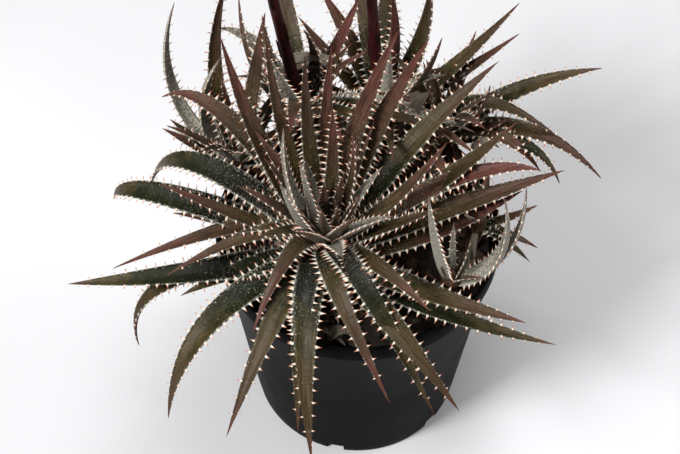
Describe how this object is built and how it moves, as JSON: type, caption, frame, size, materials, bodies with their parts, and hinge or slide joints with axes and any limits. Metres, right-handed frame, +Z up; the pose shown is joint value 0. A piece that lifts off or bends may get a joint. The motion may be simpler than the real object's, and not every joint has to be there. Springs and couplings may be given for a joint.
{
  "type": "potted bromeliad",
  "caption": "Clump of spiny, dark-leaved bromeliad rosettes with young flower stalks, growing in a tapered round nursery pot filled with potting mix.",
  "frame": {"origin": "middle of the pot's base, on the surface it stands on", "axes": "+Z up, -Y towards the front that the picture shows, +X to its right"},
  "size_m": [0.3046, 0.3153, 0.3951],
  "materials": {
    "pot_plastic": "black, satin, moulded",
    "potting_mix": "dry bark and peat mix, rough",
    "leaf": "dark bronze-green, waxy, with pale scurf",
    "stalk": "dark wine red with a faint bloom"
  },
  "bodies": {
    "root": {"pot": "pot_plastic", "soil": "potting_mix", "rosette_front": "leaf", "rosette_back_left": "leaf", "rosette_back_right": "leaf", "rosette_right": "leaf", "rosette_left": "leaf", "pup_near": "leaf", "pup_far": "leaf", "stalk_left": "stalk", "stalk_right": "stalk"}
  },
  "joints": []
}
